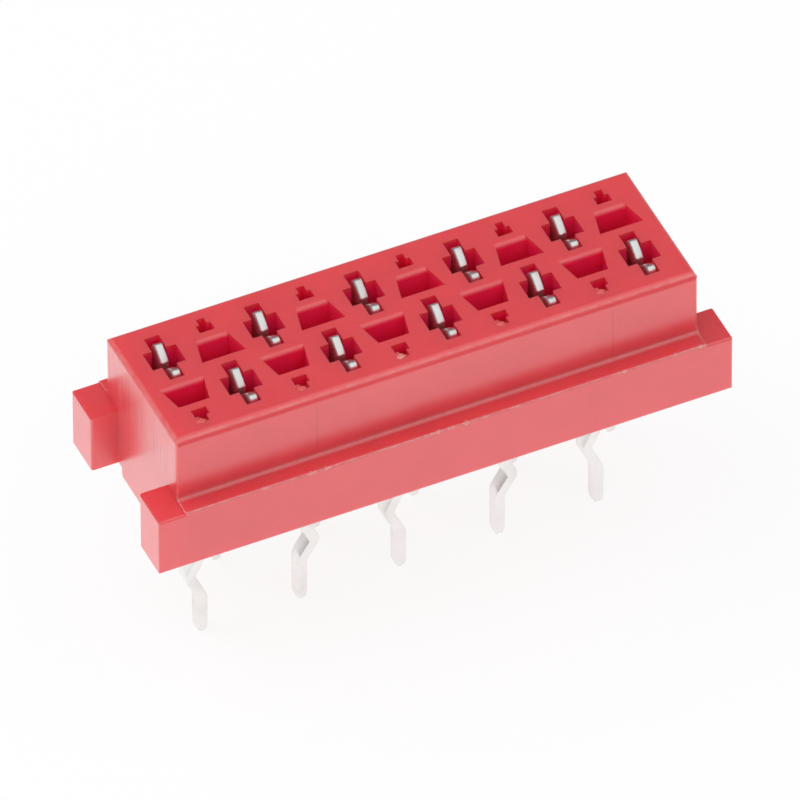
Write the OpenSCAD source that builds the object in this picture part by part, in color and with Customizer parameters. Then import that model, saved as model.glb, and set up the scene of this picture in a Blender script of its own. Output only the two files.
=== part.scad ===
// Printed circuit board socket: a moulded housing with two staggered rows of fork contacts.
// X runs along the rows, Y across them and Z up. Z = 0 is the face of the board that it stands on.

/* [Contact pattern] */
// Contacts in each of the two rows
contacts_per_row = 5; // [2:1:10]
// Step along the length from one contact to the next, which is in the other row
pitch = 1.27; // [1.25:0.01:1.6]
// Distance of each row of forks from the middle plane
fork_y = 0.75; // [0.72:0.01:0.8]
// Distance of each row of tails from the middle plane
tail_y = 1; // [0.8:0.05:1.2]

/* [Housing block] */
// Width of the block across the rows
block_w = 3.92; // [3.7:0.01:4.2]
// Height of the mating face above the board
block_h = 3.8; // [3.4:0.05:4.6]
// Plastic from the centre of the last contact to the end of the block
end_margin = 0.93; // [0.8:0.01:1.5]
// Rounding along the two long top edges
long_edge_r = 0.19; // [0.05:0.01:0.22]
// Rounding along the two short top edges
short_edge_r = 0.13; // [0.04:0.01:0.2]
// Rounding of the four upright corners
corner_r = 0.07; // [0.04:0.01:0.2]

/* [Side rails] */
// Width across the outer faces of the two rails
rails_w = 4.9; // [4.6:0.05:5.4]
// Height of the ledge on each rail above the board
ledge_h = 1.96; // [1.6:0.01:2.2]
// Step down from the ledge to the top of the wing at each of its ends
wing_drop = 0.05; // [0.04:0.01:0.3]
// Thickness of a rail, and of its wings
rail_t = 1.1; // [0.8:0.05:1.2]
// Reach of each wing past the end of the block
wing_l = 0.68; // [0.3:0.01:1.5]
// Fillet between the block and the ledge
ledge_fillet_r = 0.13; // [0.05:0.01:0.2]
// Rounding of the outer edges of the rails and of the edges of their ends
rail_edge_r = 0.06; // [0.03:0.01:0.1]

/* [Standoff feet] */
// Gap that the feet leave between the housing and the board
standoff_h = 0.27; // [0.15:0.01:0.4]
// Width of each foot across the rows
foot_w = 2.32; // [1.6:0.05:2.5]
// Length of each foot along the rows
foot_l = 0.45; // [0.4:0.05:0.6]
// Rounding of the lower edges of a foot
foot_edge_r = 0.08; // [0.03:0.01:0.12]

/* [Contact cavities] */
// Gap on each side of a contact's metal
metal_gap = 0.065; // [0.03:0.005:0.08]
// Room for a fork arm to spring outwards
spring_room = 0.14; // [0.1:0.01:0.2]
// Size along the rows of the opening for the mating blade
entry_w = 0.84; // [0.6:0.02:0.9]
// Size across the rows of the opening for the mating blade
entry_l = 0.59; // [0.4:0.01:0.7]
// Depth of the opening for the mating blade
entry_depth = 2.2; // [1.5:0.05:2.4]

/* [Windows] */
// Width of a window at its edge near the middle plane
window_inner_w = 1.13; // [0.9:0.01:1.2]
// Width of a window at its edge near the side
window_outer_w = 0.76; // [0.5:0.01:0.9]
// Distance of a window's near edge from the middle plane
window_y = 0.165; // [0.12:0.005:0.2]
// Size of a window across the rows
window_l = 0.8; // [0.6:0.01:0.85]
// Rounding of the window's two edges that run along the rows
window_lip_r = 0.12; // [0.05:0.01:0.15]
// Plastic left between a pocket's floor and the contact below it
pocket_floor_t = 0.6; // [0.3:0.05:1]

/* [Core holes] */
// Plastic between a window and the T-shaped hole outside it
core_wall = 0.165; // [0.1:0.005:0.2]
// Width of the crossbar of the T
core_bar_w = 0.38; // [0.3:0.01:0.5]
// Size of the crossbar across the rows
core_bar_l = 0.25; // [0.15:0.01:0.3]
// Width of the stem of the T
core_stem_w = 0.2; // [0.12:0.01:0.28]
// Length of the stem of the T
core_stem_l = 0.19; // [0.1:0.01:0.25]

/* [Contacts] */
// Thickness of the sheet metal
metal_t = 0.25; // [0.2:0.01:0.3]
// Width across the two arms of a fork
fork_w = 1.2; // [1:0.01:1.24]
// Gap between the arms where they grip
grip_gap = 0.2; // [0.12:0.01:0.3]
// Gap between the arms below the grip
relief_gap = 0.34; // [0.3:0.01:0.45]
// Length of the grip below the lead-in
grip_l = 0.4; // [0.2:0.05:0.6]
// Depth of the fork's tips below the mating face
tip_depth = 0.02; // [0.01:0.01:0.3]
// Drop of the sloping lead-in from the tip to the grip
lead_in_drop = 0.27; // [0.15:0.01:0.35]
// Slope of the lead-in at the tip, from which it curves down to the grip
lead_in_slant = 26; // [0:1:30]
// Rounding of the outer corner of each tip
tip_r = 0.14; // [0.05:0.01:0.16]
// Height of the underside of the base above the board
base_z = 0.45; // [0.42:0.01:0.55]
// Height of the base that joins the fork to the tail
base_h = 0.65; // [0.5:0.05:0.8]
// Plastic-gripping barb on the tail end of the base
barb_l = 0.05; // [0.03:0.005:0.08]
// Distance of the metal from the middle of its slot, to the right
side_play = 0.04; // [0:0.005:0.05]

/* [Solder tails] */
// Width of a tail where it leaves its base
tail_root_w = 0.5; // [0.4:0.01:0.6]
// Width of a tail at the start of its tapered end
tail_w = 0.34; // [0.25:0.01:0.4]
// Length of a tail below the board's face
tail_l = 3.43; // [3:0.01:4]
// Sideways reach of the kink that holds a tail in its hole
kink_reach = 0.31; // [0.15:0.01:0.4]
// Depth of the kink's peak below the board's face
kink_depth = 1.54; // [1.4:0.01:1.7]
// Slant of the two flanks of a kink that points left
kink_left_angle = 25; // [20:1:35]
// Slant of the two flanks of a kink that points right
kink_right_angle = 31; // [20:1:35]
// Radius of the bend at the kink's peak, at the middle of the metal
kink_peak_r = 0.2; // [0.16:0.01:0.3]
// Radius of the bends where the kink leaves the straight tail
kink_foot_r = 0.4; // [0.3:0.01:0.6]
// Height of the rounded end of a tail
tip_round_h = 0.26; // [0.05:0.01:0.3]
// Share of the tail's section that is left at its very end
tip_share = 0.45; // [0.3:0.05:0.9]

/* [Hidden] */
$fn = 48;
contacts = 2*contacts_per_row;
block_l = (contacts - 1)*pitch + 2*end_margin;
rails_l = block_l + 2*wing_l;
// Slot that takes a contact, and its length across the rows
slot_w = metal_t + 2*metal_gap;
slot_l = fork_w + 2*spring_room;
// Levels, from the board up
base_top_z = base_z + base_h;
pocket_floor_z = base_top_z + pocket_floor_t;
fork_tip_z = block_h - tip_depth;
grip_z = fork_tip_z - lead_in_drop;
relief_z = grip_z - grip_l;
// Ends of a base, and of the channel that it seats in, on the fork's side and on the tail's side
base_fork_end = fork_y + fork_w/2;
base_tail_end = tail_y + tail_root_w/2;
channel_fork_end = base_fork_end + spring_room;
channel_tail_end = base_tail_end + barb_l;
// The T-shaped hole starts a wall's thickness outside the window
core_y = window_y + window_l + core_wall;
// Arm of a fork between its tip and the grip
lead_in_l = (fork_w - grip_gap)/2 - tip_r;
lead_in_end_slant = 2*atan(lead_in_drop/lead_in_l) - lead_in_slant;
lead_in_r = lead_in_l/(sin(lead_in_end_slant) - sin(lead_in_slant));
// Steps of each bend, and of the rounding of a tip
bend_steps = 4;
tip_steps = 4;
// Cutters and overlapping pieces reach this far past the faces that they meet
over = 0.02;

red = [0.87, 0.25, 0.26];
tin = [0.80, 0.80, 0.78];

// Place of a contact along the rows. Odd numbers are in the back row, even ones in the front row.
function contact_x(n) = (n - (contacts + 1)/2)*pitch;
function is_back(n) = n % 2 == 1;
// Each row's kinks point left and right in turn, and the rows mirror each other end for end
function kink_side(n) = (is_back(n) ? 1 : -1)*(floor((n - 1)/2) % 2 == 0 ? -1 : 1);

// Extrude a section drawn in Y and Z along X
module along_x(length) {
    rotate([90, 0, 90]) linear_extrude(length, center = true) children();
}

// Extrude a section drawn in X and Z along Y
module along_y(length) {
    rotate([90, 0, 0]) linear_extrude(length, center = true) children();
}

// What a rounding of radius r takes off the corner at [r, r]
module corner_waste(r) {
    difference() {
        square(r + over);
        circle(r);
    }
}

// Rectangle, centred on its own X, with both corners of its top edge rounded
module round_topped(width, bottom, top, r) {
    difference() {
        translate([-width/2, bottom]) square([width, top - bottom]);
        for (side = [0, 1]) mirror([side, 0]) translate([width/2 - r, top - r]) corner_waste(r);
    }
}

// Rectangle, centred, with all its corners rounded
module rounded_plan(length, width, r) {
    difference() {
        square([length, width], center = true);
        for (x_side = [0, 1], y_side = [0, 1])
            mirror([x_side, 0]) mirror([0, y_side])
                translate([length/2 - r, width/2 - r]) corner_waste(r);
    }
}

// Upper block, with its long edges, short edges and upright corners rounded
module block() {
    intersection() {
        along_x(block_l) round_topped(block_w, standoff_h, block_h, long_edge_r);
        along_y(block_w) round_topped(block_l, standoff_h, block_h, short_edge_r);
        linear_extrude(block_h) rounded_plan(block_l, block_w, corner_r);
    }
}

// Section of the rail behind the block, up to a top face
module rail_section(top) {
    difference() {
        translate([rails_w/2 - rail_t, standoff_h]) square([rail_t, top - standoff_h]);
        translate([rails_w/2 - rail_edge_r, top - rail_edge_r]) corner_waste(rail_edge_r);
        translate([rails_w/2 - rail_edge_r, standoff_h + rail_edge_r])
            mirror([0, 1]) corner_waste(rail_edge_r);
    }
}

// Section of the fillet where the block rises from a ledge, which fills out the block's upright corners
module ledge_fillet() {
    difference() {
        translate([block_w/2 - corner_r, ledge_h - over])
            square([corner_r + ledge_fillet_r, ledge_fillet_r + over]);
        translate([block_w/2 + ledge_fillet_r, ledge_h + ledge_fillet_r]) circle(ledge_fillet_r);
    }
}

// Lower part of a rail, from wing to wing, with the edges of its two ends rounded
module winged_bar() {
    intersection() {
        along_x(rails_l) rail_section(ledge_h - wing_drop);
        along_y(2*rails_w) round_topped(rails_l, standoff_h, ledge_h - wing_drop, rail_edge_r);
        translate([0, (rails_w - rail_t)/2, 0])
            linear_extrude(ledge_h) rounded_plan(rails_l, rail_t, rail_edge_r);
    }
}

// Front and back rails: a ledge as long as the block, and lower wings that stand past its ends
module rails() {
    for (side = [0, 1]) mirror([0, side, 0]) {
        winged_bar();
        along_x(block_l) rail_section(ledge_h);
        along_x(block_l) ledge_fillet();
    }
}

// A foot under each end of the block, flush with the end face
module feet() {
    for (side = [0, 1]) mirror([side, 0, 0]) translate([block_l/2 - foot_l/2, 0, 0])
        mirror([0, 0, 1]) along_x(foot_l)
            round_topped(foot_w, -standoff_h - over, 0, foot_edge_r);
}

// Cavity of one contact, open at the mating face and at the underside
module contact_cavity() {
    // Slot for the fork
    translate([-slot_w/2, fork_y - slot_l/2, base_top_z - over])
        cube([slot_w, slot_l, block_h - base_top_z + 2*over]);
    // Channel for the base, which enters from below
    translate([-slot_w/2, -channel_tail_end, standoff_h - over])
        cube([slot_w, channel_tail_end + channel_fork_end, base_top_z - standoff_h + over]);
    // Opening for the mating blade
    translate([-entry_w/2, fork_y - entry_l/2, block_h - entry_depth])
        cube([entry_w, entry_l, entry_depth + over]);
}

// Tapered window beside a contact, seen from above: wide near the middle plane, narrow near the side
module window_plan() {
    polygon([
        [-window_inner_w/2, window_y],
        [window_inner_w/2, window_y],
        [window_outer_w/2, window_y + window_l],
        [-window_outer_w/2, window_y + window_l]
    ]);
}

// Window's section across the rows, whose lips round over into the mating face
module window_section() {
    translate([window_y + window_lip_r, pocket_floor_z])
        square([window_l - 2*window_lip_r, block_h - pocket_floor_z + over]);
    translate([window_y + window_l/2, block_h]) for (side = [0, 1]) mirror([side, 0])
        translate([window_l/2, -window_lip_r]) mirror([1, 0]) difference() {
            square([window_lip_r + over, window_lip_r + over]);
            circle(window_lip_r);
        }
}

// Window and T-shaped core hole over the base of one contact
module pockets() {
    intersection() {
        translate([0, 0, pocket_floor_z]) linear_extrude(block_h - pocket_floor_z + over) window_plan();
        along_x(window_inner_w + 2*over) window_section();
    }
    translate([0, core_y, pocket_floor_z]) linear_extrude(block_h - pocket_floor_z + over) {
        translate([-core_bar_w/2, 0]) square([core_bar_w, core_bar_l]);
        translate([-core_stem_w/2, 0]) square([core_stem_w, core_bar_l + core_stem_l]);
    }
}

// The one-piece moulding
module housing() {
    color(red) difference() {
        union() {
            block();
            rails();
            feet();
        }
        for (n = [1 : contacts]) translate([contact_x(n), 0, 0]) mirror([0, is_back(n) ? 0 : 1, 0]) {
            contact_cavity();
            mirror([0, 1, 0]) pockets();
        }
    }
}

// Arms of a fork, about its own middle, from the base to the tips
module fork_outline() {
    for (side = [0, 1]) mirror([side, 0]) difference() {
        translate([grip_gap/2, base_top_z - over])
            square([(fork_w - grip_gap)/2, fork_tip_z - base_top_z + over]);
        // Rounded outer corner of the tip
        translate([fork_w/2 - tip_r, fork_tip_z - tip_r]) corner_waste(tip_r);
        // Sloping lead-in that guides the mating blade to the grip
        difference() {
            translate([grip_gap/2 - over, grip_z])
                square([lead_in_l + over, lead_in_drop + over]);
            translate([
                grip_gap/2 + lead_in_l + lead_in_r*sin(lead_in_slant),
                fork_tip_z - lead_in_r*cos(lead_in_slant)
            ]) circle(lead_in_r, $fn = 192);
        }
        // Half of the relief below the grip, with a round foot
        translate([0, base_top_z + relief_gap/2]) circle(relief_gap/2);
        translate([0, base_top_z + relief_gap/2])
            square([relief_gap/2, relief_z - base_top_z - relief_gap/2]);
    }
}

// One side of the rounded tip of a tail, from its very end up
function tip_side(half_w) = [
    for (i = [0 : tip_steps]) let (turn = 90*i/tip_steps)
        [half_w*(tip_share + (1 - tip_share)*sin(turn)), tip_round_h*(1 - cos(turn)) - tail_l]
];

// Points in the other order, on the other side
function other_side(points) = [for (i = [len(points) - 1 : -1 : 0]) [-points[i][0], points[i][1]]];

// Base with a barb at its tail end, and the tail below it with a rounded tip
module base_and_tail_outline() {
    translate([-base_tail_end, base_z]) square([base_tail_end + base_fork_end, base_h]);
    translate([-base_tail_end, base_z + base_h/2])
        polygon([[over, -base_h/4], [over, base_h/4], [-barb_l, 0]]);
    translate([-tail_y, 0]) polygon(concat(
        [[-tail_root_w/2, base_z + over]],
        other_side(tip_side(tail_w/2)),
        tip_side(tail_w/2),
        [[tail_root_w/2, base_z + over]]
    ));
}

// Straight flank of a kink, and the drop from its peak to the straight tail
function kink_flank_l(angle) = (kink_reach - (kink_peak_r + kink_foot_r)*(1 - cos(angle)))/sin(angle);
function kink_drop(angle) = (kink_peak_r + kink_foot_r)*sin(angle) + kink_flank_l(angle)*cos(angle);

// Middle line of half a kink, from its peak to the straight tail: sideways place, drop and slant
function half_kink(angle) = concat(
    [for (i = [0 : bend_steps]) let (slant = angle*i/bend_steps)
        [kink_reach - kink_peak_r*(1 - cos(slant)), kink_peak_r*sin(slant), slant]],
    [for (i = [bend_steps : -1 : 0]) let (slant = angle*i/bend_steps)
        [kink_foot_r*(1 - cos(slant)), kink_drop(angle) - kink_foot_r*sin(slant), slant]]
);

// One edge of the metal along a whole kink, from its foot up: side is 1 outside the bend and -1 inside it
function kink_edge(side, angle) = let (half = half_kink(angle), last = len(half) - 1) [
    for (i = [-last : last]) let (p = half[abs(i)], offset = side*metal_t/2)
        [p[0] + offset*cos(p[2]), sign(i)*(p[1] + offset*sin(p[2])) - kink_depth]
];

// Edge of the metal, seen along Y: straight in the housing, kinked below it and thin at the tip
module metal_section(angle) {
    inside = kink_edge(-1, angle);
    polygon(concat(
        tip_side(metal_t/2),
        kink_edge(1, angle),
        [[metal_t/2, fork_tip_z + over], [-metal_t/2, fork_tip_z + over]],
        [for (i = [len(inside) - 1 : -1 : 0]) inside[i]],
        other_side(tip_side(metal_t/2))
    ));
}

// One stamped contact: its outline, cut from metal that follows the kinked section
module contact(n) {
    color(tin) translate([contact_x(n) + side_play, 0, 0]) mirror([0, is_back(n) ? 0 : 1, 0])
        intersection() {
            along_x(2*(kink_reach + metal_t)) {
                translate([fork_y, 0]) fork_outline();
                base_and_tail_outline();
            }
            along_y(2*(channel_fork_end + channel_tail_end))
                mirror([kink_side(n) > 0 ? 0 : 1, 0])
                    metal_section(kink_side(n) > 0 ? kink_right_angle : kink_left_angle);
        }
}

housing();
for (n = [1 : contacts])
    contact(n);
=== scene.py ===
"""Looks of a printed circuit board socket: a glossy red moulding with tinned fork contacts."""
import math

import bpy
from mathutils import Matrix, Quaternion, Vector, noise


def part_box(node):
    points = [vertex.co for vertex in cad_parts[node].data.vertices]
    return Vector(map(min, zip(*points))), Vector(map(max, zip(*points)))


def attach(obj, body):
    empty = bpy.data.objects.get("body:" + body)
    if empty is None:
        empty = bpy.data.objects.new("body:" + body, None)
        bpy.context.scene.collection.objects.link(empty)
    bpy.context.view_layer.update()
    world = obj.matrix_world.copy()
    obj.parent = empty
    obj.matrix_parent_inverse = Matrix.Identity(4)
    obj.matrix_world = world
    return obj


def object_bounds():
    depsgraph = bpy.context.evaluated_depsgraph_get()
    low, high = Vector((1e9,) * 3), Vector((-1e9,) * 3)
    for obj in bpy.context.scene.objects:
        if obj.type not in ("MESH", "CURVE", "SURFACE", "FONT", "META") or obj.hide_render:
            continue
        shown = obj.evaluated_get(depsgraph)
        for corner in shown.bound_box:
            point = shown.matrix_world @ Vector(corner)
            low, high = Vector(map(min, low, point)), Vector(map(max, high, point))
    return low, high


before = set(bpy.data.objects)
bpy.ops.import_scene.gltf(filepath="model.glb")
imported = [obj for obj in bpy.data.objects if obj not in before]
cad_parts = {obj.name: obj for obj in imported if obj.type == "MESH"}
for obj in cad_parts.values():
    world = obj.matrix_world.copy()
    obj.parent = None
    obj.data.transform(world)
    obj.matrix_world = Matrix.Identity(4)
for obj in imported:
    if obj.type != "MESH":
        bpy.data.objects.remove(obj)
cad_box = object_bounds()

MM = 0.001

# Camera, as fitted to the photograph
AZIMUTH_DEG = -24.619
ELEVATION_DEG = 44.058
ROLL_DEG = -0.298
DISTANCE = 651.1*MM
AIM = Vector((0.095, 0.365, 0.383))*MM
LENS_MM = 1260
SENSOR_MM = 36

# Floor: its glow as the camera, gloss and diffuse light see it, the pools in millimetres that the glow
# fades across, and the colours that take the shadow
FLOOR_HALF = 700*MM
FLOOR_GLOW_COLOUR = (1, 1, 1, 1)
FLOOR_GLOW_SEEN = 0.87
FLOOR_GLOW_REFLECTED = 0.86
FLOOR_GLOW_BOUNCE = 0.20
FLOOR_POOL_SEEN = (60, 260)
FLOOR_POOL_REFLECTED = (11, 20)
FLOOR_POOL_SHAPE = (0.5, 1.0, 0.0)
FLOOR_FAR_SEEN = 0.35
FLOOR_FAR_REFLECTED = 0.20
FLOOR_WHITE = (0.95, 0.95, 0.95, 1)
FLOOR_SHADE_SEEN = (0.14, 0.14, 0.14, 1)
FLOOR_SHADE_REFLECTED = (0.26, 0.26, 0.26, 1)
FLOOR_SHADE_FAR = (0.10, 0.10, 0.10, 1)

# Surroundings: two greys and the rise between them for gloss, one for diffuse light and one for the camera
SKY_HORIZON = (0.18, 0.17, 0.17, 1)
SKY_HIGH = (0.18, 0.18, 0.183, 1)
SKY_RISE = (0.04, 0.25)
SKY_FILL = (0.37, 0.37, 0.376, 1)
SKY_SEEN = (0.95, 0.95, 0.95, 1)

# Soft lights: a wide one overhead, and two that leave no glints, high on the left and weak in front
LIGHTS = {
    "overhead": {"azimuth_deg": -5, "elevation_deg": 71, "distance": 200*MM, "size": 355*MM,
                 "power": 0.273, "in_gloss": True},
    "left_key": {"azimuth_deg": -130, "elevation_deg": 45, "distance": 250*MM, "size": 250*MM,
                 "power": 0.235, "in_gloss": False},
    "front_fill": {"azimuth_deg": -8, "elevation_deg": 35, "distance": 250*MM, "size": 160*MM,
                   "power": 0.02, "in_gloss": False},
}

# Colours, in linear light
RED = (0.880, 0.071, 0.083, 1)
RED_DEEP = (0.820, 0.063, 0.077, 1)
# Pale scuffed red, which is also painted along the block's edges as a highlight
RED_SCUFF_AND_HIGHLIGHT = (0.860, 0.300, 0.290, 1)
RED_GROOVE = (0.400, 0.025, 0.035, 1)
# A brighter, more crimson red, painted inside the cavities as the light and shade there
RED_CAVITY_PAINTED_LIGHT = (1.000, 0.021, 0.115, 1)
RED_FLASH = (1.000, 0.420, 0.390, 1)
RED_LIP = (0.840, 0.085, 0.085, 1)
RED_LIP_PALE = (0.840, 0.150, 0.130, 1)
RED_TORN = (0.820, 0.150, 0.135, 1)
RED_TORN_PALE = (0.920, 0.380, 0.330, 1)
TIN = (0.87, 0.865, 0.85, 1)
TIN_DULL = (0.80, 0.79, 0.77, 1)

# The housing, in millimetres: its mating face, rail fronts and ledges, and the block between the wings
WING = 0.68
LEDGE_WIDTH = 0.49
LEDGE = 1.96
housing_low, housing_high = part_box("housing")
MATING_FACE = housing_high.z/MM
RAIL_FACE = -housing_low.y/MM
BLOCK_END = housing_high.x/MM - WING
BLOCK_SIDE = RAIL_FACE - LEDGE_WIDTH

# Limits of the painted light and shade on the cavities' walls, in millimetres
CAVITY_TOP = (MATING_FACE - 0.14, MATING_FACE - 0.02)
CAVITY_END = (6.2, 6.4)
CAVITY_SIDE = (1.70, 1.75)
CAVITY_FLOOR = (0.5, 1.0)

# Faces that take mould marks: how squarely they look along an axis, and how near they lie in millimetres
FACING = (0.90, 0.98)
ON_FACE = 0.05

# Draw lines on the block's ends: their noise and its stretch per millimetre along each axis, the height
# where they start, the patches they show in, the levels of dark and pale lines, and their shares of colour
DRAW_STRETCH = (1.0, 24.0, 0.60)
DRAW_NOISE = {"detail": 2.0, "roughness": 0.6}
DRAW_START = (1.9, 2.6)
DRAW_PATCHES = {"scale": 1.3}
DRAW_PATCH_LEVELS = (0.30, 0.60)
DRAW_PATCH_LEAST = 0.45
DRAW_DARK = (0.34, 0.44)
DRAW_DARK_SHARE = 0.5
DRAW_PALE = (0.48, 0.60)
DRAW_PALE_SHARE = 0.44

# Witness lines on the long walls, in millimetres: each one's place along the wall and half width, their
# foot, head and depth, and their share of colour
WITNESS_LINES = ((-3.08, 0.045), (4.46, 0.05))
WITNESS_FOOT = (1.9, 2.3)
WITNESS_HEAD = (3.4, 3.6)
WITNESS_DEPTH = 0.003
WITNESS_SHARE = 0.22

# Edges with a painted highlight and a little wear, in millimetres: bands below or inside a face, or a
# middle line and its reach on both sides; then the noise that makes them ragged, their share of pale
# colour, which is painted highlight, and the roughness the wear adds
SHORT_EDGE_TOP = (0.13, 0.06)
SHORT_EDGE_END = (0.13, 0.04)
LONG_EDGE_TOP = (0.09, 0.05)
LONG_EDGE_INSET = 0.07
LONG_EDGE_REACH = 0.06
RAIL_EDGE_FRONT = (0.05, 0.01)
RAIL_EDGE_DROP = 0.03
RAIL_EDGE_REACH = 0.06
FILLET_OUT = 0.045
FILLET_REACH = 0.05
CORNER = (0.05, 0.02)
CORNER_FOOT = (0.05, 0.0)
RAGGED_EDGE_NOISE = {"scale": 5.0, "detail": 3.0, "roughness": 0.6}
RAGGED_EDGE_LEVELS = (0.30, 0.65)
RAGGED_EDGE_LEAST = 0.35
EDGE_HIGHLIGHT_SHARE = 0.55
WORN_ROUGHER = 0.10

# Moulded finish: noises per millimetre for cloudy colour, grain and waviness, and heights in millimetres
CLOUD = {"scale": 0.55, "detail": 6.0, "roughness": 0.70}
CLOUD_LEVELS = (0.3, 0.7)
GRAIN = {"scale": 14.0, "detail": 3.0, "roughness": 0.6}
GRAIN_LEVELS = (0.25, 0.75)
GRAIN_HEIGHT = 0.0006
WAVINESS = {"scale": 1.1}
WAVINESS_HEIGHT = 0.004
PLASTIC_ROUGHNESS = (0.29, 0.35)
PLASTIC_SHADER = {
    "IOR": 1.5, "Specular IOR Level": 0.75, "Coat Weight": 1.0, "Coat Roughness": 0.28,
    "Subsurface Weight": 0.50, "Subsurface Radius": (1.0, 0.12, 0.12), "Subsurface Scale": 0.70*MM,
}

# Stretched plastic of flash and lips: its mottle per millimetre, and the mottle's height in millimetres
MOTTLE = {"scale": 16.0, "detail": 3.0, "roughness": 0.6}
MOTTLE_HEIGHT = 0.003
MOTTLE_PALE_LEVELS = (0.35, 0.65)
MOTTLE_ROUGH_LEVELS = (0.3, 0.7)
MOTTLE_ROUGHNESS = (0.30, 0.50)
MOTTLE_SPECULAR = 0.7

# Tin: noises per millimetre for its patches, its ripples and the shear lines on its cut edges, with
# heights in millimetres
TIN_PATCHES = {"scale": 1.4}
TIN_DULL_LEVELS = (0.45, 0.80)
TIN_ROUGH_LEVELS = (0.3, 0.75)
TIN_ROUGHNESS = (0.26, 0.33)
TIN_RIPPLES = {"scale": 4.0, "detail": 1.0}
TIN_RIPPLE_HEIGHT = 0.0012
TIN_METALLIC = 0.93
CUT_EDGE_FACING = (0.6, 0.9)
SHEAR_STRETCH = (26.0, 26.0, 1.4)
SHEAR_NOISE = {"detail": 3.0, "roughness": 0.6}
SHEAR_LEVELS = (0.3, 0.7)
SHEAR_HEIGHT = 0.0005
SHEAR_ROUGHER = 0.08

# Left side of a fork's cut edges, which the punch drew down, in millimetres: pitch and shift of the
# contacts, where the roll starts beside a contact's middle, how fast it falls, and the height it starts at
CONTACT_PITCH = 1.27
CONTACT_SHIFT = 0.04
ROLL_START = -0.01
ROLL_FALL = 4.5
ROLL_ABOVE = (1.2, 1.4)

# Broken edges of the stamped contacts
EDGE_BREAK = 0.025*MM
EDGE_BREAK_STEPS = 3
EDGE_BREAK_ANGLE_DEG = 35
WELD_REACH = 1e-4*MM
FLAT_FACE_WEIGHT = 100

# Moulding flash along the front ledge, in millimetres: its thin bead, its crumbs as place along the
# ledge, half length and height, and how uneven its run, its crumbs and its skin are
FLASH_THIN = 0.009
FLASH_INSET = 0.018
FLASH_STEP = 0.01
FLASH_SIDES = 8
FLASH_CRUMBS = (
    (-4.63, 0.10, 0.022), (-3.43, 0.14, 0.034), (-3.07, 0.16, 0.034), (-0.45, 0.18, 0.036),
    (-0.18, 0.10, 0.034), (0.10, 0.10, 0.024), (0.50, 0.10, 0.036), (0.96, 0.09, 0.032),
    (1.83, 0.06, 0.018), (4.55, 0.08, 0.020), (5.85, 0.10, 0.022), (6.50, 0.12, 0.034),
)
FLASH_RUN = {"per_mm": 5, "middle": 1.0, "swing": 1.4, "least": 0.3}
FLASH_CRUMBLE = {"per_mm": 17, "middle": 0.65, "swing": 1.3, "least": 0.15}
FLASH_SKIN = {"per_mm": 31, "middle": 1.0, "swing": 0.7, "least": 0.0}

# Little lips of plastic pushed up beside the stems of the front core holes, in millimetres, and how
# uneven they are: how far one differs from the next, how bumpy each is, and the share of its reach
LIP_FIRST = Vector((-5.815, -1.540, MATING_FACE - 0.004))
LIP_PITCH = 2*CONTACT_PITCH
LIP_COUNT = 5
LIP_TORN = 2
LIP_REACH = Vector((0.115, 0.085, 0.018))
LIP_RINGS = 9
LIP_SIDES = 18
LIP_APART = 3
LIP_BUMPS = 2.3
LIP_SWING = 0.55


def direction(azimuth_deg, elevation_deg):
    """Unit vector from the object towards a place at that azimuth and elevation."""
    a = math.radians(azimuth_deg)
    e = math.radians(elevation_deg)
    return Vector((math.sin(a)*math.cos(e), -math.cos(a)*math.cos(e), math.sin(e)))


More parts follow.
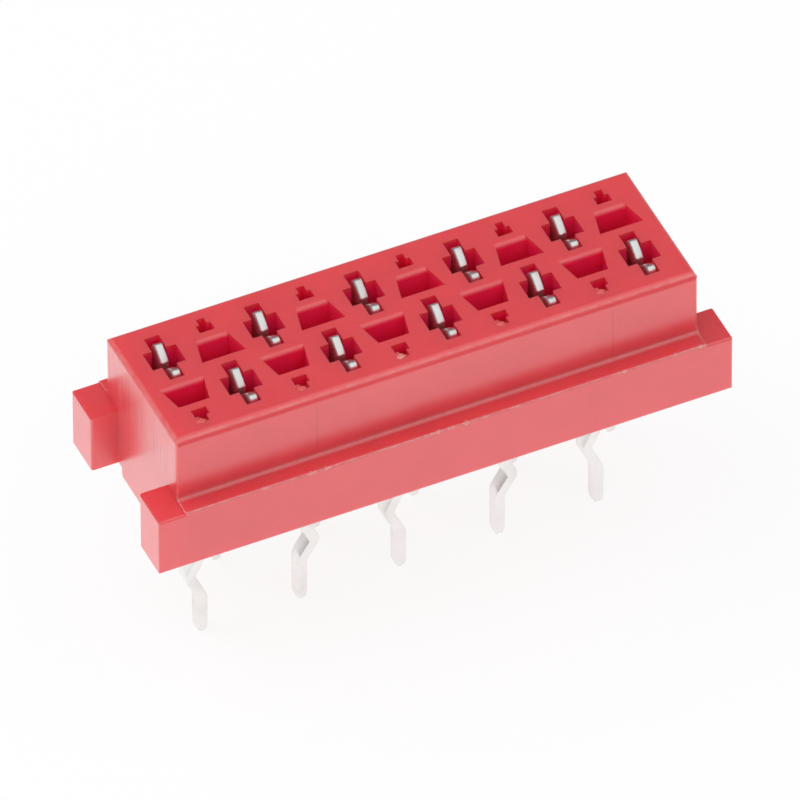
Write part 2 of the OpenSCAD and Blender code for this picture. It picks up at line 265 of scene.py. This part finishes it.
class Nodes:
    """Short calls for building one node tree."""

    # Inputs and output of a Mix node for colours
    MIX_SHARE = 0
    MIX_A = 6
    MIX_B = 7
    MIX_RESULT = 2

    def __init__(self, tree):
        self.tree = tree

    def add(self, kind, sockets=None, **properties):
        """A new node with its properties set and its sockets, by name or number, filled or linked."""
        node = self.tree.nodes.new(kind)
        for name, value in properties.items():
            setattr(node, name, value)
        for key, value in (sockets or {}).items():
            self.fill(node.inputs[key], value)
        return node

    def fill(self, socket, value):
        """Link an output to a socket, or set the socket's own value."""
        if isinstance(value, bpy.types.NodeSocket):
            self.tree.links.new(value, socket)
        else:
            socket.default_value = value

    def math(self, operation, a, b=0.0):
        """Result of a math node on numbers or outputs."""
        return self.add("ShaderNodeMath", {0: a, 1: b}, operation=operation).outputs[0]

    def product(self, first, *others):
        """Product of numbers or outputs."""
        for other in others:
            first = self.math("MULTIPLY", first, other)
        return first

    def largest(self, first, *others):
        """Largest of numbers or outputs."""
        for other in others:
            first = self.math("MAXIMUM", first, other)
        return first

    def smooth(self, value, low, high, out_low=0.0, out_high=1.0):
        """Value mapped smoothly from one range to another."""
        ends = {"From Min": low, "From Max": high, "To Min": out_low, "To Max": out_high}
        node = self.add("ShaderNodeMapRange", {"Value": value, **ends}, interpolation_type="SMOOTHSTEP")
        return node.outputs[0]

    def fade(self, value, low, high):
        """1 below a range, falling smoothly to 0 above it."""
        return self.smooth(value, low, high, 1.0, 0.0)

    def up_to(self, value, face, band):
        """0 further than the band from a face, rising smoothly to 1 across it."""
        return self.smooth(value, face - band[0], face - band[1])

    def near(self, value, centre, half_width):
        """1 at the centre, falling smoothly to 0 at half_width from it."""
        away = self.math("ABSOLUTE", self.math("SUBTRACT", value, centre))
        return self.fade(away, 0.0, half_width)

    def mix(self, share, a, b):
        """Colour between a and b."""
        sockets = {self.MIX_SHARE: share, self.MIX_A: a, self.MIX_B: b}
        return self.add("ShaderNodeMix", sockets, data_type="RGBA").outputs[self.MIX_RESULT]

    def noise(self, place, scale=1.0, detail=2.0, roughness=0.5):
        """Grey noise at a place."""
        sockets = {"Vector": place, "Scale": scale, "Detail": detail, "Roughness": roughness}
        return self.add("ShaderNodeTexNoise", sockets).outputs[0]

    def scaled(self, place, factors):
        """A place with each coordinate multiplied."""
        return self.add("ShaderNodeVectorMath", {0: place, 1: factors}, operation="MULTIPLY").outputs[0]

    def split(self, place):
        """The three coordinates of a place."""
        return self.add("ShaderNodeSeparateXYZ", {0: place}).outputs

    def facing(self, axis, low, high):
        """1 on faces that look along an axis, either way, and 0 on faces that look well off it."""
        normal = self.split(self.add("ShaderNodeNewGeometry").outputs["True Normal"])
        return self.smooth(self.math("ABSOLUTE", normal[axis]), low, high)

    def bump(self, height):
        """Normal of a surface raised by a height in millimetres."""
        return self.add("ShaderNodeBump", {"Height": height, "Distance": MM, "Strength": 1.0}).outputs[0]


def new_material(name):
    """An empty material, its node calls, and a place in millimetres on the object."""
    material = bpy.data.materials.new(name)
    material.use_nodes = True
    material.node_tree.nodes.clear()
    nodes = Nodes(material.node_tree)
    place = nodes.scaled(nodes.add("ShaderNodeTexCoord").outputs["Object"], (1/MM, 1/MM, 1/MM))
    return material, nodes, place


def finish_surface(nodes, sockets):
    """Add the surface's shader, with its sockets filled or linked."""
    shader = nodes.add("ShaderNodeBsdfPrincipled", sockets)
    nodes.add("ShaderNodeOutputMaterial", {"Surface": shader.outputs[0]})


def draw_lines(n, place, along, z):
    """Shares of dark and of pale draw lines up the block's two ends, where the mould opened along them."""
    lines = n.noise(n.scaled(place, DRAW_STRETCH), **DRAW_NOISE)
    patches = n.smooth(n.noise(place, **DRAW_PATCHES), *DRAW_PATCH_LEVELS, out_low=DRAW_PATCH_LEAST)
    on_end = n.product(n.facing(0, *FACING), n.near(along, BLOCK_END, ON_FACE))
    drawn = n.product(on_end, n.smooth(z, *DRAW_START), patches)
    dark = n.product(drawn, n.fade(lines, *DRAW_DARK), DRAW_DARK_SHARE)
    pale = n.product(drawn, n.smooth(lines, *DRAW_PALE), DRAW_PALE_SHARE)
    return dark, pale


def edge_highlight_and_wear(n, place, along, across, z):
    """Share of painted highlight, with some wear, on the block's top edges and corners, the rails' fronts
    and the ledges' fillets.
    """
    short_edge = n.product(n.up_to(along, BLOCK_END, SHORT_EDGE_END),
                           n.up_to(z, MATING_FACE, SHORT_EDGE_TOP))
    long_edge = n.product(n.near(across, BLOCK_SIDE - LONG_EDGE_INSET, LONG_EDGE_REACH),
                          n.up_to(z, MATING_FACE, LONG_EDGE_TOP))
    rail_edge = n.product(n.up_to(across, RAIL_FACE, RAIL_EDGE_FRONT),
                          n.near(z, LEDGE - RAIL_EDGE_DROP, RAIL_EDGE_REACH))
    fillet = n.product(n.near(across, BLOCK_SIDE + FILLET_OUT, FILLET_REACH),
                       n.near(z, LEDGE + FILLET_OUT, FILLET_REACH))
    corner = n.product(n.up_to(along, BLOCK_END, CORNER), n.up_to(across, BLOCK_SIDE, CORNER),
                       n.up_to(z, LEDGE, CORNER_FOOT))
    ragged = n.smooth(n.noise(place, **RAGGED_EDGE_NOISE), *RAGGED_EDGE_LEVELS, out_low=RAGGED_EDGE_LEAST)
    return n.product(n.largest(short_edge, long_edge, rail_edge, fillet, corner), ragged)


def witness_lines(n, x, across, z):
    """Share of the faint upright lines on the long walls, where mould inserts met."""
    lines = n.largest(*[n.near(x, place, half_width) for place, half_width in WITNESS_LINES])
    on_wall = n.product(n.facing(1, *FACING), n.near(across, BLOCK_SIDE, ON_FACE))
    return n.product(lines, n.smooth(z, *WITNESS_FOOT), n.fade(z, *WITNESS_HEAD), on_wall)


def painted_cavity_light(n, along, across, z):
    """Share of painted light and shade on the walls of the cavities: a brighter, more crimson red."""
    within = n.product(n.fade(along, *CAVITY_END), n.fade(across, *CAVITY_SIDE))
    return n.product(within, n.fade(z, *CAVITY_TOP), n.smooth(z, *CAVITY_FLOOR))


def red_plastic():
    """Glossy red moulding with draw lines, faint witness lines, worn edges with a painted highlight,
    painted light and shade in the cavities, and a mould grain.
    """
    material, n, place = new_material("red_plastic")
    x, y, z = n.split(place)
    along = n.math("ABSOLUTE", x)
    across = n.math("ABSOLUTE", y)
    draw_dark, draw_pale = draw_lines(n, place, along, z)
    highlight_and_wear = edge_highlight_and_wear(n, place, along, across, z)
    witness = witness_lines(n, x, across, z)

    cloud = n.noise(place, **CLOUD)
    colour = n.mix(n.smooth(cloud, *CLOUD_LEVELS), RED_DEEP, RED)
    # Painted light and shade on the cavities' walls
    colour = n.mix(painted_cavity_light(n, along, across, z), colour, RED_CAVITY_PAINTED_LIGHT)
    colour = n.mix(n.largest(draw_dark, n.product(witness, WITNESS_SHARE)), colour, RED_GROOVE)
    # Pale draw lines, and the painted highlight along the worn edges
    colour = n.mix(n.largest(draw_pale, n.product(highlight_and_wear, EDGE_HIGHLIGHT_SHARE)), colour, RED_SCUFF_AND_HIGHLIGHT)

    grain = n.noise(place, **GRAIN)
    roughness = n.smooth(grain, *GRAIN_LEVELS, *PLASTIC_ROUGHNESS)
    roughness = n.math("ADD", roughness, n.product(highlight_and_wear, WORN_ROUGHER))
    height = n.product(grain, GRAIN_HEIGHT)
    height = n.math("ADD", height, n.product(n.noise(place, **WAVINESS), WAVINESS_HEIGHT))
    height = n.math("SUBTRACT", height, n.product(witness, WITNESS_DEPTH))

    surface = {"Base Color": colour, "Roughness": roughness, "Normal": n.bump(height)}
    finish_surface(n, {**surface, **PLASTIC_SHADER})
    return material


def whitened_plastic(name, deep, pale):
    """Stretched, whitened plastic of flash and lips, mottled."""
    material, n, place = new_material(name)
    mottle = n.noise(place, **MOTTLE)
    finish_surface(n, {
        "Base Color": n.mix(n.smooth(mottle, *MOTTLE_PALE_LEVELS), deep, pale),
        "Roughness": n.smooth(mottle, *MOTTLE_ROUGH_LEVELS, *MOTTLE_ROUGHNESS),
        "Normal": n.bump(n.product(mottle, MOTTLE_HEIGHT)),
        "Specular IOR Level": MOTTLE_SPECULAR,
    })
    return material


def rolled_side(n, place):
    """Depth in millimetres by which the punch drew down the left side of the forks' cut edges."""
    x, _, z = n.split(place)
    column = n.math("FRACT", n.math("DIVIDE", n.math("SUBTRACT", x, CONTACT_SHIFT), CONTACT_PITCH))
    beside = n.product(n.math("SUBTRACT", column, 0.5), CONTACT_PITCH)
    rolled = n.largest(n.math("SUBTRACT", ROLL_START, beside), 0.0)
    return n.product(rolled, rolled, n.smooth(z, *ROLL_ABOVE, out_high=ROLL_FALL))


def tinned_metal():
    """Satin tin over stamped metal, duller in patches, with shear lines on its cut edges."""
    material, n, place = new_material("tinned_metal")
    patch = n.noise(place, **TIN_PATCHES)
    shear = n.noise(n.scaled(place, SHEAR_STRETCH), **SHEAR_NOISE)
    ripple = n.noise(place, **TIN_RIPPLES)
    cut_edge = n.facing(1, *CUT_EDGE_FACING)

    roughness = n.smooth(patch, *TIN_ROUGH_LEVELS, *TIN_ROUGHNESS)
    sheared = n.product(cut_edge, n.smooth(shear, *SHEAR_LEVELS, out_high=SHEAR_ROUGHER))
    height = n.product(ripple, TIN_RIPPLE_HEIGHT)
    height = n.math("ADD", height, n.product(shear, cut_edge, SHEAR_HEIGHT))
    height = n.math("SUBTRACT", height, rolled_side(n, place))

    finish_surface(n, {
        "Base Color": n.mix(n.smooth(patch, *TIN_DULL_LEVELS), TIN, TIN_DULL),
        "Roughness": n.math("ADD", roughness, sheared),
        "Normal": n.bump(height),
        "Metallic": TIN_METALLIC,
    })
    return material


def floor_material():
    """White floor, brightest under the object, that keeps a soft shadow and shows in reflections."""
    material, n, place = new_material("floor_white")
    path = n.add("ShaderNodeLightPath").outputs
    camera = path["Is Camera Ray"]
    mirrored = n.largest(path["Is Glossy Ray"], path["Is Transmission Ray"])
    pool_place = n.scaled(place, FLOOR_POOL_SHAPE)
    distance = n.add("ShaderNodeVectorMath", {0: pool_place}, operation="LENGTH").outputs["Value"]

    seen = n.smooth(distance, *FLOOR_POOL_SEEN, FLOOR_GLOW_SEEN, FLOOR_FAR_SEEN)
    reflected = n.smooth(distance, *FLOOR_POOL_REFLECTED, FLOOR_GLOW_REFLECTED, FLOOR_FAR_REFLECTED)
    strength = n.smooth(mirrored, 0.0, 1.0, FLOOR_GLOW_BOUNCE, reflected)
    strength = n.smooth(camera, 0.0, 1.0, strength, seen)
    glow = n.add("ShaderNodeEmission", {"Color": FLOOR_GLOW_COLOUR, "Strength": strength})

    colour = n.mix(n.smooth(distance, *FLOOR_POOL_REFLECTED), FLOOR_SHADE_REFLECTED, FLOOR_SHADE_FAR)
    colour = n.mix(mirrored, FLOOR_WHITE, colour)
    colour = n.mix(camera, colour, FLOOR_SHADE_SEEN)
    shade = n.add("ShaderNodeBsdfDiffuse", {"Color": colour})
    lit = n.add("ShaderNodeAddShader", {0: glow.outputs[0], 1: shade.outputs[0]})

    # From below, the floor lets the object's underside show
    below = n.add("ShaderNodeNewGeometry").outputs["Backfacing"]
    clear = n.add("ShaderNodeBsdfTransparent")
    sided = n.add("ShaderNodeMixShader", {0: below, 1: lit.outputs[0], 2: clear.outputs[0]})
    n.add("ShaderNodeOutputMaterial", {"Surface": sided.outputs[0]})
    return material


def make_floor():
    """A large flat floor under the tips of the tails."""
    z = cad_box[0].z
    corners = [(sx*FLOOR_HALF, sy*FLOOR_HALF, z) for sx, sy in ((-1, -1), (1, -1), (1, 1), (-1, 1))]
    mesh = bpy.data.meshes.new("floor")
    mesh.from_pydata(corners, [], [(0, 1, 2, 3)])
    floor = bpy.data.objects.new("floor", mesh)
    bpy.context.scene.collection.objects.link(floor)
    mesh.materials.append(floor_material())


def make_sky():
    """Surroundings that fill the shade, show dim in gloss and look white."""
    world = bpy.data.worlds.new("studio")
    bpy.context.scene.world = world
    world.use_nodes = True
    world.node_tree.nodes.clear()
    n = Nodes(world.node_tree)
    up = n.split(n.add("ShaderNodeTexCoord").outputs["Generated"])[2]
    rise = n.smooth(n.math("ABSOLUTE", up), *SKY_RISE)
    path = n.add("ShaderNodeLightPath").outputs
    colour = n.mix(path["Is Glossy Ray"], SKY_FILL, n.mix(rise, SKY_HORIZON, SKY_HIGH))
    colour = n.mix(path["Is Camera Ray"], colour, SKY_SEEN)
    background = n.add("ShaderNodeBackground", {"Color": colour, "Strength": 1.0})
    n.add("ShaderNodeOutputWorld", {"Surface": background.outputs[0]})


def area_light(name, azimuth_deg, elevation_deg, distance, size, power, in_gloss):
    """A square soft light that faces the object."""
    light = bpy.data.lights.new(name, "AREA")
    light.size = size
    light.energy = power
    lamp = bpy.data.objects.new(name, light)
    bpy.context.scene.collection.objects.link(lamp)
    towards = direction(azimuth_deg, elevation_deg)
    lamp.location = AIM + towards*distance
    lamp.rotation_mode = "QUATERNION"
    lamp.rotation_quaternion = (-towards).to_track_quat("-Z", "Y")
    lamp.visible_glossy = in_gloss
    lamp.visible_camera = False


def make_lights():
    """The soft lights round the object."""
    for name, settings in LIGHTS.items():
        area_light(name, **settings)


def make_camera():
    """The photograph's view."""
    data = bpy.data.cameras.new("camera")
    data.sensor_fit = "HORIZONTAL"
    data.sensor_width = SENSOR_MM
    data.lens = LENS_MM
    camera = bpy.data.objects.new("camera", data)
    bpy.context.scene.collection.objects.link(camera)
    back = direction(AZIMUTH_DEG, ELEVATION_DEG)
    camera.location = AIM + back*DISTANCE
    camera.rotation_mode = "QUATERNION"
    roll = Quaternion((0, 0, 1), math.radians(ROLL_DEG))
    camera.rotation_quaternion = (-back).to_track_quat("-Z", "Y") @ roll
    bpy.context.scene.camera = camera


def break_edges(node):
    """Break the sharp edges of a stamped CAD node a little."""
    weld = node.modifiers.new("weld", "WELD")
    weld.merge_threshold = WELD_REACH
    bevel = node.modifiers.new("edge_break", "BEVEL")
    bevel.width = EDGE_BREAK
    bevel.segments = EDGE_BREAK_STEPS
    bevel.limit_method = "ANGLE"
    bevel.angle_limit = math.radians(EDGE_BREAK_ANGLE_DEG)
    bevel.use_clamp_overlap = False
    bevel.loop_slide = False
    flat = node.modifiers.new("flat_faces", "WEIGHTED_NORMAL")
    flat.weight = FLAT_FACE_WEIGHT


def uneven(place, per_mm, middle, swing, least):
    """A factor that swings about a middle value from place to place, and is never under the least."""
    return max(least, middle + swing*noise.noise(place*per_mm))


def skin(faces, rings):
    """Add the faces that join rings of points into one closed form, in the order of the rings."""
    for ring, after in zip(rings, rings[1:]):
        for side in range(len(ring)):
            other = (side + 1) % len(ring)
            faces.append((ring[side], ring[other], after[other], after[side]))
    faces.append(tuple(reversed(rings[0])))
    faces.append(tuple(rings[-1]))


def tube(verts, faces, centres, radii, across, up):
    """Add a closed tube of uneven round rings to a mesh's lists."""
    rings = []
    for centre, radius in zip(centres, radii):
        rings.append(range(len(verts), len(verts) + FLASH_SIDES))
        for side in range(FLASH_SIDES):
            turn = 2*math.pi*side/FLASH_SIDES
            out = (across*math.cos(turn) + up*math.sin(turn))*radius
            verts.append((centre + out*uneven(centre + out, **FLASH_SKIN))*MM)
    skin(faces, rings)


def mound(verts, faces, centre):
    """Add a closed low lump with an uneven outline to a mesh's lists, from its foot up."""
    rings = []
    for ring in reversed(range(LIP_RINGS)):
        rings.append(range(len(verts), len(verts) + LIP_SIDES))
        fall = math.pi*(ring + 0.5)/LIP_RINGS
        for side in range(LIP_SIDES):
            turn = 2*math.pi*side/LIP_SIDES
            out = Vector((math.sin(fall)*math.cos(turn), math.sin(fall)*math.sin(turn), math.cos(fall)))
            bumpy = 1 + LIP_SWING*noise.noise(centre*LIP_APART + out*LIP_BUMPS)
            verts.append((centre + out*LIP_REACH*bumpy)*MM)
    skin(faces, rings)


def moulded_piece(name, verts, faces, material):
    """A small piece of the housing's own plastic, fixed to it."""
    mesh = bpy.data.meshes.new(name)
    mesh.from_pydata(verts, [], faces)
    mesh.shade_smooth()
    mesh.materials.append(material)
    piece = bpy.data.objects.new(name, mesh)
    bpy.context.scene.collection.objects.link(piece)
    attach(piece, "root")


def crumb_height(place, crumbs):
    """Height that the crumbs add to the flash at a place along it."""
    rises = [height*max(0.0, 1 - ((place - middle)/half)**2) for middle, half, height in crumbs]
    return max(rises, default=0.0)


def bead(verts, faces, start, end, crumbs):
    """Add an uneven bead of flash from one point to another to a mesh's lists."""
    run = end - start
    count = round(run.length/FLASH_STEP)
    ahead = run.normalized()
    up = Vector((0, 0, 1))
    centres = [start + run*(k/count) for k in range(count + 1)]
    radii = []
    for centre in centres:
        thin = FLASH_THIN*uneven(centre, **FLASH_RUN)
        radii.append(thin + crumb_height(centre.x, crumbs)*uneven(centre, **FLASH_CRUMBLE))
    tube(verts, faces, centres, radii, up.cross(ahead), up)


def make_flash(material):
    """Flash along the front ledge's outer edge and across its left end."""
    verts = []
    faces = []
    edge = Vector((0, FLASH_INSET - RAIL_FACE, LEDGE - FLASH_INSET))
    end = Vector((BLOCK_END, 0, 0))
    bead(verts, faces, edge - end, edge + end, FLASH_CRUMBS)
    front = Vector((-BLOCK_END, FLASH_INSET - RAIL_FACE, LEDGE))
    back = Vector((-BLOCK_END, -BLOCK_SIDE, LEDGE))
    bead(verts, faces, front, back, ())
    moulded_piece("ledge_flash", verts, faces, material)


def make_lips(name, columns, material):
    """Lips beside some of the front core holes."""
    verts = []
    faces = []
    for column in columns:
        mound(verts, faces, LIP_FIRST + Vector((column*LIP_PITCH, 0, 0)))
    moulded_piece(name, verts, faces, material)


def dress(node, material):
    """Give a CAD node its finish."""
    mesh = node.data
    if not mesh.materials:
        mesh.materials.append(material)
    for slot in node.material_slots:
        slot.material = material


def dress_all():
    """The housing gets its plastic, and each contact its tin and broken edges."""
    plastic = red_plastic()
    tin = tinned_metal()
    for name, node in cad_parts.items():
        if name == "housing":
            dress(node, plastic)
        else:
            break_edges(node)
            dress(node, tin)


make_camera()
make_floor()
make_sky()
make_lights()
dress_all()
make_flash(whitened_plastic("flash_plastic", RED_SCUFF_AND_HIGHLIGHT, RED_FLASH))
whole_lips = [column for column in range(LIP_COUNT) if column != LIP_TORN]
make_lips("hole_lips", whole_lips, whitened_plastic("lip_plastic", RED_LIP, RED_LIP_PALE))
make_lips("torn_lip", [LIP_TORN], whitened_plastic("torn_plastic", RED_TORN, RED_TORN_PALE))
bpy.context.scene.view_settings.view_transform = "Standard"
